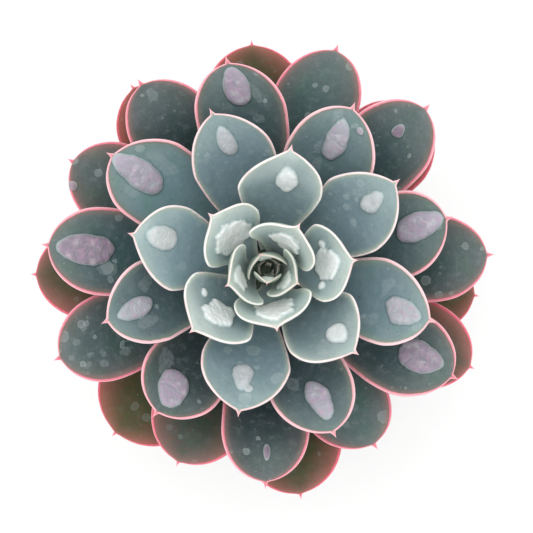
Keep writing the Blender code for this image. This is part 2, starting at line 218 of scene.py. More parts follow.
# Flat pale films beside them: station, offset, length, width and tilt.
FILMS = {
    14: [(0.72, -3.5, 3.5, 5, 0)],
    15: [(0.82, 3, 4, 3, 0), (0.62, -5, 3, 3.5, 0)],
    16: [(0.72, 4.5, 4, 3, 0)],
    19: [(0.66, 5.5, 5, 3, 30), (0.64, 2.8, 4, 1.8, 60), (0.6, -6, 5, 4, 0)],
    20: [(0.72, 5.3, 7, 3.6, 0), (0.66, -5.5, 5, 4, 20)],
    21: [(0.67, 4.2, 4.5, 3, 0), (0.57, 2.5, 4.5, 3, 0), (0.86, 2.4, 9, 3, 10)],
    22: [(0.6, -4.5, 5, 4, 0)],
    23: [(0.67, -5.4, 6, 4.5, 0), (0.76, -6, 8, 3, 0), (0.76, 6.4, 5, 3.4, 0)],
    25: [(0.68, -7, 8, 5, 30)],
    26: [(0.8, -5.4, 8, 2.6, 20), (0.66, -4.8, 3, 3, 0)],
    28: [(0.66, 5, 6, 4, 0)],
    31: [(0.89, -0.7, 4.5, 3, 0)],
    33: [(0.86, -2.5, 2.2, 1.8, 0), (0.91, 1.5, 1.8, 1.5, 0), (0.82, 2.8, 2.2, 1.4, 0),
         (0.85, 5.2, 3, 1.7, 20), (0.78, 7, 2.2, 2.6, 0), (0.76, 3.6, 1.7, 2.6, 0),
         (0.8, -5.5, 2, 2, 0), (0.66, 6, 3, 2.4, 0)],
    35: [(0.8, -3, 2.6, 2, 0), (0.74, 2, 2, 2, 0)],
}

# A growth's depth inside its outline is told apart up to this far, in millimetres.
GROWTH_REACH = 3.0

# Colours by place, linear. Body is the middle of the upper face, end is near the point, flush is
# just inside the margin, rim is the margin itself and back is the underside. The first column, for the
# closed bud deep in the rosette's centre, is darkened with painted shade.
COLOUR_PLACE = (3, 4, 8, 12, 16, 20, 24, 30, 36, 41, 46, 52)
BODY = (
    (0.07, 0.1, 0.07), (0.21, 0.28, 0.23), (0.34, 0.44, 0.44), (0.165, 0.25, 0.275),
    (0.15, 0.228, 0.262), (0.115, 0.185, 0.21), (0.056, 0.098, 0.106), (0.021, 0.056, 0.06),
    (0.036, 0.074, 0.07), (0.034, 0.056, 0.014), (0.036, 0.052, 0.01), (0.042, 0.046, 0.01),
)
END = (
    (0.11, 0.14, 0.1), (0.52, 0.6, 0.5), (0.66, 0.73, 0.67), (0.6, 0.68, 0.64),
    (0.31, 0.41, 0.41), (0.21, 0.29, 0.3), (0.134, 0.19, 0.18), (0.12, 0.165, 0.16),
    (0.09, 0.134, 0.128), (0.064, 0.076, 0.038), (0.07, 0.07, 0.024), (0.078, 0.056, 0.022),
)
FLUSH = (
    (0.12, 0.15, 0.1), (0.48, 0.56, 0.44), (0.58, 0.65, 0.54), (0.54, 0.61, 0.52),
    (0.4, 0.46, 0.38), (0.23, 0.29, 0.24), (0.22, 0.205, 0.17), (0.32, 0.19, 0.175),
    (0.36, 0.185, 0.17), (0.42, 0.155, 0.14), (0.44, 0.145, 0.12), (0.48, 0.14, 0.12),
)
RIM = (
    (0.16, 0.19, 0.14), (0.66, 0.7, 0.58), (0.93, 0.94, 0.88), (0.94, 0.92, 0.86),
    (0.95, 0.74, 0.73), (0.95, 0.52, 0.55), (0.93, 0.34, 0.4), (0.9, 0.22, 0.3),
    (0.86, 0.17, 0.25), (0.8, 0.12, 0.18), (0.74, 0.1, 0.15), (0.68, 0.08, 0.12),
)
BACK = (
    (0.14, 0.18, 0.13), (0.3, 0.37, 0.3), (0.3, 0.37, 0.32), (0.24, 0.31, 0.28),
    (0.19, 0.25, 0.23), (0.17, 0.22, 0.2), (0.16, 0.17, 0.15), (0.16, 0.14, 0.12),
    (0.18, 0.13, 0.11), (0.2, 0.11, 0.08), (0.22, 0.1, 0.07), (0.24, 0.09, 0.06),
)
LUMP = (
    (0.2, 0.25, 0.2), (0.58, 0.66, 0.6), (0.88, 0.92, 0.9), (0.8, 0.85, 0.84),
    (0.48, 0.52, 0.53), (0.39, 0.41, 0.45), (0.38, 0.36, 0.43), (0.22, 0.17, 0.22),
    (0.34, 0.28, 0.3), (0.3, 0.2, 0.18), (0.3, 0.2, 0.18), (0.3, 0.2, 0.18),
)

# How much paler or darker than its age a leaf's upper face is. The end follows by a power of that.
TONE = {
    9: 1.2, 10: 1.3, 11: 1.2, 14: 0.8, 15: 1.4, 17: 1.1, 18: 1.1, 19: 1.15, 20: 0.62, 22: 0.58, 23: 2.1,
    24: 1.1, 25: 0.5, 27: 0.85, 28: 1.3, 30: 0.62, 31: 0.8, 34: 1.5, 35: 1.7, 38: 0.7, 40: 0.85,
}
END_TONE_POWER = 0.3
MUCRO = (0.86, 0.17, 0.24)
ROSY_RIM = (0.93, 0.42, 0.47)
ROSY_PLACES = 20


def between(place, places, values):
    return float(np.interp(place, places, values))


def grown(values, place):
    return between(place, GROWTH_PLACE, values)


def shade(bands, place):
    return np.array([between(place, COLOUR_PLACE, [band[i] for band in bands]) for i in range(3)])


def ramp(value, start, end):
    """0 before start, 1 after end and smooth in between."""
    share = np.clip((value - start) / (end - start), 0, 1)
    return share * share * (3 - 2 * share)


HASH_COLUMN = 374761393
HASH_ROW = 668265263
HASH_MIX = 1274126177
HASH_BITS = 0x7FFFFFFF
HASH_STEPS = 65536
FIELD_GAIN = 1.4


def field(x, y, seed):
    """Smooth noise over a plane, from about -1 to 1, with a wave about 2 units long."""
    x, y = np.broadcast_arrays(np.asarray(x, float), np.asarray(y, float))
    column, row = np.floor(x).astype(np.int64), np.floor(y).astype(np.int64)
    across, along = x - column, y - row

    def corner(i, j):
        mixed = ((column + i) * HASH_COLUMN + (row + j) * HASH_ROW + seed * HASH_MIX) & HASH_BITS
        mixed = ((mixed ^ (mixed >> 13)) * HASH_MIX) & HASH_BITS
        angle = mixed % HASH_STEPS / HASH_STEPS * 2 * pi
        return np.cos(angle) * (across - i) + np.sin(angle) * (along - j)

    ease_x = across**3 * (across * (across * 6 - 15) + 10)
    ease_y = along**3 * (along * (along * 6 - 15) + 10)
    low = corner(0, 0) + ease_x * (corner(1, 0) - corner(0, 0))
    high = corner(0, 1) + ease_x * (corner(1, 1) - corner(0, 1))
    return FIELD_GAIN * (low + ease_y * (high - low))


class Blade:
    """One leaf's midline and outline, from its place on the stem."""

    def __init__(self, place):
        self.azimuth = FIRST_AZIMUTH - TURN * place + radians(SWAY_DEG.get(place, 0))
        self.length = MATURE_LENGTH * grown(LENGTH_SHARE, place) * REACH.get(place, 1)
        width = MATURE_WIDTH * grown(WIDTH_SHARE, place) * BREADTH.get(place, 1)
        root_radius = CROWN_RADIUS * grown(ROOT_RADIUS_SHARE, place)
        self.half_width = width / 2
        self.root_half_width = ROOT_HALF_WIDTH_OF_RADIUS * root_radius
        self.thickness = MATURE_THICKNESS * grown(THICKNESS_OF_MATURE, place)
        self.skew = TIP_SKEW.get(place, 0)
        self.wrap = grown(WRAP, place) * WRAP_SHARE.get(place, 1)
        self.cupping = 8 * MATURE_CUP_SHARE * grown(CUP_OF_MATURE, place) / width
        self.lift_at_root = radians(grown(LIFT_AT_ROOT, place) + EXTRA_LIFT_DEG.get(place, 0))
        self.lift_at_tip = radians(grown(LIFT_AT_TIP, place) + EXTRA_LIFT_DEG.get(place, 0))
        self.curl = radians(grown(TIP_CURL, place))
        self.flare = max(self.lift_at_tip - self.curl - POINT_LIFT, 0)
        self.corner_ahead = between(place, CORNER_PLACE, CORNER_AHEAD)
        self.corner_behind = between(place, CORNER_PLACE, CORNER_BEHIND)
        proud = between(place, POINT_PROUD_PLACE, POINT_PROUD)
        self.shoulder = min(SHOULDER_STATION, 1 - proud / self.length)
        self.flatten = between(place, FLATTEN_PLACE, FLATTEN)
        self.spout = between(place, SPOUT_PLACE, SPOUT)
        self.seed = 11 * place + 3
        steps = np.arange(MIDLINE_STEPS)
        lift = self.lift((steps + 0.5) / MIDLINE_STEPS)
        stride = self.length / MIDLINE_STEPS
        root_height = POT_HEIGHT + ROSETTE_ABOVE_RIM + ROOT_PITCH * (PLACES - 1 - place)
        self.station = np.arange(MIDLINE_STEPS + 1) / MIDLINE_STEPS
        self.radius = root_radius + np.concatenate(([0], np.cumsum(stride * np.cos(lift))))
        self.height = root_height + np.concatenate(([0], np.cumsum(stride * np.sin(lift))))

    def lift(self, station):
        """The midline's angle above level: the blade bends up, then its point curls outward."""
        bend = (self.lift_at_tip - self.lift_at_root) * station
        curled = self.curl * np.clip((station - CURL_START) / (1 - CURL_START), 0, 1) ** CURL_POWER
        return self.lift_at_root + bend - curled - self.flare * ramp(station, FLARE_START, FLARE_END)

    def rounded_outline(self, station):
        """Half the width of a blade with rounded shoulders."""
        swell = np.sin(pi / 2 * np.minimum(station / WIDEST_STATION, 1)) ** SWELL_POWER
        rising = self.root_half_width + (self.half_width - self.root_half_width) * swell
        closing = np.clip((station - WIDEST_STATION) / (self.shoulder - WIDEST_STATION), 0, 1)
        fullness, roundness = SHOULDER_POWERS
        falling = self.half_width * np.maximum(1 - closing**fullness, 0) ** roundness
        return np.where(station < WIDEST_STATION, rising, falling)

    def cornered_outline(self, station):
        """Half the width of a blade whose margin turns a corner at its widest place."""
        breadth = CORNER_BREADTH * self.half_width
        rise = self.root_half_width + (breadth - self.root_half_width) * station / CORNER_STATION
        closing = np.clip((station - CORNER_STATION) / (self.shoulder - CORNER_STATION), 0, 1)
        fullness, roundness = CORNER_POWERS
        fall = breadth * np.maximum(1 - closing**fullness, 0) ** roundness
        sharp = -CORNER_SHARPNESS
        return (np.maximum(rise, 0.01) ** sharp + np.maximum(fall, 0.01) ** sharp) ** (1 / sharp)

    def half_width_at(self, station, across):
        """The width from the midline to the margin, on the side that the sign of across says."""
        rounded = self.rounded_outline(station)
        corner = np.where(across > 0, self.corner_ahead, self.corner_behind)
        outline = rounded + (self.cornered_outline(station) - rounded) * corner
        to_tip = (1 - station) * self.length
        point = POINT_HALF_WIDTH * np.clip(to_tip / POINT_LENGTH, 0, 2) ** POINT_POWER
        point = point * min(1, self.half_width / POINT_FULL_HALF_WIDTH)
        point = np.where(to_tip < 2 * POINT_LENGTH, point, 0)
        point = point * ramp(2 * POINT_LENGTH - to_tip, 0, POINT_LENGTH)
        joined = (outline**3 + point**3) ** (1 / 3)
        wave = field(station * self.length / MARGIN_WAVE_LENGTH, self.seed + np.sign(across), self.seed)
        wave = MARGIN_WAVE * wave * ramp(station, 0.1, 0.4) * ramp(1 - station, 0.04, 0.12)
        return np.maximum(joined + wave, 0.02)

    def place_of(self, station, across, depth):
        """Points in metres at these stations, shares of the half width and heights over the mid-surface."""
        lift = self.lift(station)
        radius = np.interp(station, self.station, self.radius)
        height = np.interp(station, self.station, self.height)
        bend = self.wrap * np.maximum(np.sin(lift), 0) / radius + self.cupping
        flattened = 1 - self.flatten * ramp(station, FLATTEN_START, FLATTEN_END)
        bend = np.maximum(bend * flattened, 1e-4)
        side = self.half_width_at(station, across) * across
        turn = side * bend
        sideways = (1 / bend - depth) * np.sin(turn)
        sideways = sideways + self.skew * np.clip((station - SKEW_START) / (1 - SKEW_START), 0, 1) ** 2
        inward = 1 / bend - (1 / bend - depth) * np.cos(turn)
        middle = np.exp(-np.sqrt(side**2 + SPOUT_SOFTNESS**2) / SPOUT_WIDTH)
        inward = inward - self.spout * middle * ramp(station, SPOUT_START, SPOUT_END)
        outward = radius - inward * np.sin(lift)
        rise = height + inward * np.cos(lift)
        east = outward * cos(self.azimuth) - sideways * sin(self.azimuth)
        north = outward * sin(self.azimuth) + sideways * cos(self.azimuth)
        return np.stack((east, north, rise), -1) * MM


def spaced(weight, count):
    """Stations from 0 to 1 that lie closer together where the weight is greater."""
    fine = np.linspace(0, 1, 2001)
    total = np.concatenate(([0], np.cumsum(weight((fine[1:] + fine[:-1]) / 2))))
    return np.interp(np.linspace(0, 1, count), total / total[-1], fine)


def turned(along, side, tilt):
    """The same offsets, measured along axes that are turned by a tilt in degrees."""
    c, s = cos(radians(tilt)), sin(radians(tilt))
    return c * along + s * side, c * side - s * along


def growth_depth(place, blade, side, along):
    """How far inside a growth's outline each point is, in mm, and how high the growth stands there."""
    inside = np.full(side.shape, -GROWTH_REACH)
    raised = np.zeros(side.shape)
    for index, growth in enumerate(GROWTHS.get(place, ())):
        station, offset, long, wide, tilt, tall, rough, folds = growth
        seed = blade.seed + 101 * index
        u, v = turned(along - station * blade.length, side - offset, tilt)
        warp = rough * (0.8 * field(u / 4.2, v / 4.2, seed) + 0.3 * field(u / 1.9, v / 1.9, seed + 1))
        taper = 1 + 0.16 * v / wide * (1 if seed % 2 else -1)
        reach = np.sqrt((u * 2 / long * taper) ** 2 + (v * 2 / wide * (1 + 0.25 * u / long)) ** 2) + warp
        small = min(long, wide) / 2
        depth = np.clip((1 - reach) * small, -GROWTH_REACH, GROWTH_REACH)
        shoulder = min(1.15, 0.7 * small)
        rise = np.clip(depth / shoulder, 0, 1)
        dome = np.sqrt(1 - (1 - rise) ** 2)
        crown = 0.62 + 0.18 * np.clip(1 - reach**2, 0, 1)
        groove = np.exp(-((field(u / 5.0, v / 4.6, seed + 2) / 0.08) ** 2))
        crease = 0.6 * field(u / 3.8, v / 3.8, seed + 3) + 0.12 * field(u / 1.3, v / 1.3, seed + 4)
        crease = crease - 0.45 * groove
        lump = dome * (tall * crown + folds * between(place, (11, 16), (0.5, 1.15)) * crease)
        inside = np.maximum(inside, depth)
        raised = np.maximum(raised, np.where(depth > 0, np.maximum(lump, 0.1 * tall * dome), 0))
    return inside, raised


def film_cover(place, blade, side, along):
    """1 within a flat pale film, falling to 0 round it."""
    cover = np.zeros(side.shape)
    for index, (station, offset, long, wide, tilt) in enumerate(FILMS.get(place, ())):
        seed = blade.seed + 401 * index
        u, v = turned(along - station * blade.length, side - offset, tilt)
        warp = 0.35 * field(u / 2.6, v / 2.6, seed) + 0.2 * field(u / 1.2, v / 1.2, seed + 1)
        reach = np.sqrt((u * 2 / long) ** 2 + (v * 2 / wide) ** 2) + warp
        cover = np.maximum(cover, np.clip((1 - reach) * min(long, wide) / 2 + 0.5, 0, 1))
    return cover


class Grid:
    """The points of a leaf's skin: rings from its root to its point, each over the top and back below."""

    def __init__(self, place, blade):
        growths = GROWTHS.get(place, ())
        self.rings, columns = PLAIN_MESH
        middle, spread = 0.75, 0.3
        if growths:
            middle, spread = growths[0][0], max(growths[0][2] / blade.length, 0.12)
            if growths[0][5] > FINE_FROM_GROWTH_HEIGHT:
                self.rings, columns = FINE_MESH
        if place < BUD_PLACES:
            self.rings, columns = BUD_MESH

        def weight(t):
            return 0.75 + 1.3 * np.exp(-(((t - middle) / spread) ** 2)) + 1.6 * ramp(t, 0.9, 0.96)

        self.station = spaced(weight, self.rings)[:, None]
        self.station[-1] = LAST_STATION
        share = np.linspace(-1, 1, columns + 1)
        top = -np.sign(share) * (1 - (1 - np.abs(share)) ** 1.15)
        share = np.linspace(-1, 1, columns // 3 + 1)[1:-1]
        below = np.sign(share) * (1 - (1 - np.abs(share)) ** 1.5)
        self.count = len(top) + len(below)
        self.across = np.concatenate((top, below))[None, :]
        self.is_upper = np.arange(self.count)[None, :] < len(top)
        self.half = blade.half_width_at(self.station, self.across)
        self.along = self.station * blade.length + 0 * self.across
        self.side = self.across * self.half
        self.edge = (1 - np.abs(self.across)) * self.half


def skin_depth(place, blade, grid, raised):
    """Heights over the blade's mid-surface: the upper skin with its growths, and the fleshy underside."""
    t, edge, side, along = grid.station, grid.edge, grid.side, grid.along
    grown_up = between(place, YOUNG_TO_GROWN_PLACE, (0, 1))
    shares = np.array(YOUNG_THICKNESS_SHARE) * (1 - grown_up) + np.array(THICKNESS_SHARE) * grown_up
    thickness = np.minimum(blade.thickness * np.interp(t, THICKNESS_STATION, shares), 2 * grid.half)
    lip = np.minimum(between(place, LIP_PLACE, LIP), 0.8 * grid.half)
    rounding = np.sqrt(np.clip(1 - (1 - np.clip(edge / MARGIN_ROUNDING, 0, 1)) ** 2, 0, 1))
    belly = np.maximum(thickness - lip, 0) * (1 - np.abs(grid.across) ** 2.2) ** 0.8
    dish = -0.1 * (1 - np.exp(-edge / 1.2)) + 0.1 * np.exp(-(((edge - 0.7) / 0.5) ** 2))
    swell = 0.14 * field(side / 6, along / 6, blade.seed + 5) * ramp(edge, 0.3, 3)
    top = lip * rounding + (dish + swell) * ramp(t, 0.05, 0.3) * ramp(1 - t, 0.02, 0.1)
    top = top + raised * ramp(edge, 0.3, 1.6)
    waves = 0.1 * field(side / 5, along / 5, blade.seed + 6) * ramp(edge, 0.3, 3)
    return np.where(grid.is_upper, top, -belly - lip * rounding + waves)


def skin_faces(rings, count):
    """Quads between the rings, and triangles to one vertex each at the point and at the root."""
    tip, root, last = rings * count, rings * count + 1, (rings - 1) * count
    faces = []
    for ring in range(rings - 1):
        here, there = ring * count, (ring + 1) * count
        for i in range(count):
            j = (i + 1) % count
            faces.append((here + i, here + j, there + j, there + i))
    for i in range(count):
        j = (i + 1) % count
        faces.append((last + i, last + j, tip))
        faces.append((j, i, root))
    return faces


def with_ends(values, at_tip, at_root):
    """The values of the rings' points in rows, then those of the point and of the root."""
    rows = values.reshape(values.shape[0] * values.shape[1], -1)
    return np.concatenate((rows, np.array([at_tip, at_root], float).reshape(2, -1)))


def skin_tint(place, blade, grid):
    """The skin's colour: paler towards the end and the margin, in patches, and darker at the root with
    painted shade.
    """
    t, edge, side, along = grid.station, grid.edge, grid.side, grid.along
    body, end, flush, back = (shade(bands, place) for bands in (BODY, END, FLUSH, BACK))
    tone = TONE.get(place, 1)
    body, end = body * tone, end * tone**END_TONE_POWER
    start = between(place, (4, 12, 20), (0.3, 0.45, 0.6))
    from_margin = np.exp(-edge / (0.22 * blade.half_width)) * ramp(t, 0.2, 0.6)
    paling = np.clip(ramp(t, start, 0.98) + 0.3 * from_margin, 0, 1)[..., None]
    patch = 0.5 + 0.5 * field(side / 9, along / 9, blade.seed + 8)[..., None]
    upper = body + (end - body) * np.clip(paling * (0.55 + 0.6 * patch), 0, 1)
    reddening = np.exp(-edge / 3.2) * ramp(t, 0.35, 0.8) * between(place, (26, 34, 40), (0, 0.2, 0.9))
    upper = upper + (1.1 * flush - upper) * np.clip(reddening[..., None] * (0.5 + patch), 0, 1)
    # Painted shade: the root third of the upper face is darkened, where the leaves overlap deep in the
    # rosette.
    upper = upper * (1 - 0.35 * (1 - ramp(t, 0.0, 0.3))[..., None])
    under = back + (flush - back) * 0.35 * ramp(t, 0.5, 1)[..., None] * (0.6 + 0.6 * patch)
    return with_ends(np.where(grid.is_upper[..., None], upper, under), MUCRO, body)


def rim_tint(place, blade, grid):
    """The margin's colour: redder at the point, and rosy here and there on young leaves."""
    t, q, rim = grid.station, grid.across, shade(RIM, place)
    tipward = np.exp(-(1 - t) * blade.length / 2.2)[..., None] + 0 * q[..., None]
    reddened = np.clip(tipward * between(place, (3, 4, 12), (0.2, 0.7, 1.1)), 0, 1)
    rims = rim + (np.array(MUCRO) - rim) * reddened
    if place < ROSY_PLACES:
        blotches = ramp(field(grid.along / 6, q * 1.2 + 5, blade.seed + 9), 0.2, 0.6)[..., None]
        rosy = blotches * ramp(place, 5, 14) * 0.5
        rims = rims * (1 - rosy) + np.array(ROSY_RIM) * rosy
    return with_ends(rims, MUCRO, rim)


ATTRIBUTE_KEYS = {"FLOAT": "value", "FLOAT_VECTOR": "vector", "FLOAT_COLOR": "color"}


def store(mesh, label, kind, values):
    """Keeps a value, a vector or a colour for each vertex, for the material to read."""
    if kind == "FLOAT_COLOR":
        values = np.concatenate((values, np.ones((len(values), 1))), 1)
    attribute = mesh.attributes.new(label, kind, "POINT")
    attribute.data.foreach_set(ATTRIBUTE_KEYS[kind], np.ascontiguousarray(values, np.float32).ravel())


def leaf_mesh(name, place):
    """One closed leaf in metres, with what its skin's material needs on its vertices."""
    blade = Blade(place)
    grid = Grid(place, blade)
    inside, raised = growth_depth(place, blade, grid.side, grid.along)
    points = blade.place_of(grid.station, grid.across, skin_depth(place, blade, grid, raised))
    tip = blade.place_of(np.array([1.0]), np.array([0.0]), np.array([0.0]))
    root = points[0].mean(0, keepdims=True)
    verts = np.concatenate((points.reshape(-1, 3), tip, root))
    mesh = bpy.data.meshes.new(name)
    mesh.from_pydata(verts.tolist(), [], skin_faces(grid.rings, grid.count))

    store(mesh, "edge", "FLOAT", with_ends(np.where(grid.is_upper, grid.edge, -grid.edge), 0, 2))
    inside = np.where(grid.is_upper, inside, -GROWTH_REACH)
    store(mesh, "growth", "FLOAT", with_ends(inside, -GROWTH_REACH, -GROWTH_REACH))
    film = film_cover(place, blade, grid.side, grid.along) * grid.is_upper
    store(mesh, "film", "FLOAT", with_ends(film, 0, 0))
    # The patterns' plane: each leaf and each of its sides lies in a part of its own.
    flat_mm = np.stack((grid.side + 40 * place, grid.along, 20 * grid.is_upper + 0 * grid.side), -1)
    store(mesh, "blade_mm", "FLOAT_VECTOR", with_ends(flat_mm, flat_mm[-1, 0], flat_mm[0, 0]))
    store(mesh, "tint", "FLOAT_COLOR", skin_tint(place, blade, grid))
    store(mesh, "flush", "FLOAT_COLOR", np.tile(shade(FLUSH, place), (len(verts), 1)))
    store(mesh, "rim", "FLOAT_COLOR", rim_tint(place, blade, grid))
    store(mesh, "lump", "FLOAT_COLOR", np.tile(shade(LUMP, place), (len(verts), 1)))
    return mesh


def put(tree, kind, sockets=None, **settings):
    """Adds a node. A socket's value is a number, a colour or another node's output to link."""
    node = tree.nodes.new(kind)
    for key, value in settings.items():
        setattr(node, key, value)
    for key, value in (sockets or {}).items():
        if isinstance(value, bpy.types.NodeSocket):
            tree.links.new(value, node.inputs[key])
        else:
            node.inputs[key].default_value = value
    return node


class Paint:
    """Short names for the shader nodes that the materials share."""

    def __init__(self, name):
        self.material = bpy.data.materials.new(name)
        self.material.use_nodes = True
        self.tree = self.material.node_tree
        self.shader = self.tree.nodes["Principled BSDF"]

    def attribute(self, name, output):
        return put(self.tree, "ShaderNodeAttribute", attribute_name=name).outputs[output]

    def math(self, operation, a, b=0.0, c=0.0):
        return put(self.tree, "ShaderNodeMath", {0: a, 1: b, 2: c}, operation=operation).outputs[0]

    def ramp(self, value, start, end, low=0.0, high=1.0):
        sockets = {0: value, 1: start, 2: end, 3: low, 4: high}
        return put(self.tree, "ShaderNodeMapRange", sockets, interpolation_type="SMOOTHSTEP").outputs[0]

    def mix(self, share, a, b, blend="MIX"):
        node = put(self.tree, "ShaderNodeMix", {0: share, 6: a, 7: b}, data_type="RGBA", blend_type=blend)
        return node.outputs[2]

    def veil(self, colour, tone, value, start, end, most=1.0, blend="MIX"):
        """The colour under a tone that is laid on where the value runs from start to end."""
        return self.mix(self.ramp(value, start, end, 0.0, most), colour, tone, blend)

    def product(self, a, b):
        return self.math("MULTIPLY", a, b)

    def noise(self, vector, scale, detail=3.0, rough=0.55):
        sockets = {"Vector": vector, "Scale": scale, "Detail": detail, "Roughness": rough}
        return put(self.tree, "ShaderNodeTexNoise", sockets).outputs[0]

    def noise_colour(self, vector, scale):
        return put(self.tree, "ShaderNodeTexNoise", {"Vector": vector, "Scale": scale}).outputs[1]

    def cells(self, vector, scale, feature="F1"):
        sockets = {"Vector": vector, "Scale": scale}
        return put(self.tree, "ShaderNodeTexVoronoi", sockets, feature=feature)

    def split(self, colour):
        return put(self.tree, "ShaderNodeSeparateColor", {0: colour}).outputs

    def bump(self, height, distance, normal=None):
        sockets = {"Height": height, "Distance": distance}
        if normal:
            sockets["Normal"] = normal
        return put(self.tree, "ShaderNodeBump", sockets).outputs[0]

    def finish(self, colour, roughness, normal, **fixed):
        self.tree.links.new(colour, self.shader.inputs["Base Color"])
        self.tree.links.new(roughness, self.shader.inputs["Roughness"])
        self.tree.links.new(normal, self.shader.inputs["Normal"])
        for key, value in fixed.items():
            self.shader.inputs[key.replace("_", " ")].default_value = value
        return self.material


# What lies over a leaf's tint, linear. A colour named as a shade multiplies what is under it.
SHADED_SHADE = (0.72, 0.78, 0.76, 1)
CRACK_SHADE = (0.5, 0.55, 0.56, 1)
HAZE = (0.42, 0.48, 0.48, 1)
FINE_HAZE = (0.5, 0.55, 0.53, 1)
WAX_POWDER = (0.50, 0.56, 0.56, 1)
PORES = (0.03, 0.05, 0.05, 1)
WATER_FILM = (0.42, 0.50, 0.50, 1)
WATER_RING = (0.55, 0.6, 0.6, 1)
DRIED_FILM = (0.40, 0.46, 0.47, 1)
DARK_SPECK = (0.045, 0.03, 0.022, 1)
RED_STAIN = (0.30, 0.035, 0.035, 1)
RIM_DUST = (0.95, 0.85, 0.86, 1)
# Painted highlight on the margin's very edge.
RIM_PAINTED_HIGHLIGHT = (0.96, 0.90, 0.93, 1)
PALE_FLESH = (0.76, 0.77, 0.75, 1)
GLASSY_COLLAR = (0.60, 0.68, 0.68, 1)
FOOT_SHADOW = (0.02, 0.035, 0.035, 1)

# Dried water marks: cells to a millimetre, radius, share without one and strength.
WATER_MARKS = ((0.2, 0.22, 0.5, 0.85), (0.46, 0.16, 0.72, 0.5), (0.12, 0.2, 0.6, 0.75))

# Depth of the bumps, in metres.
SKIN_RELIEF = 0.00006
FOLD_RELIEF = 0.00028


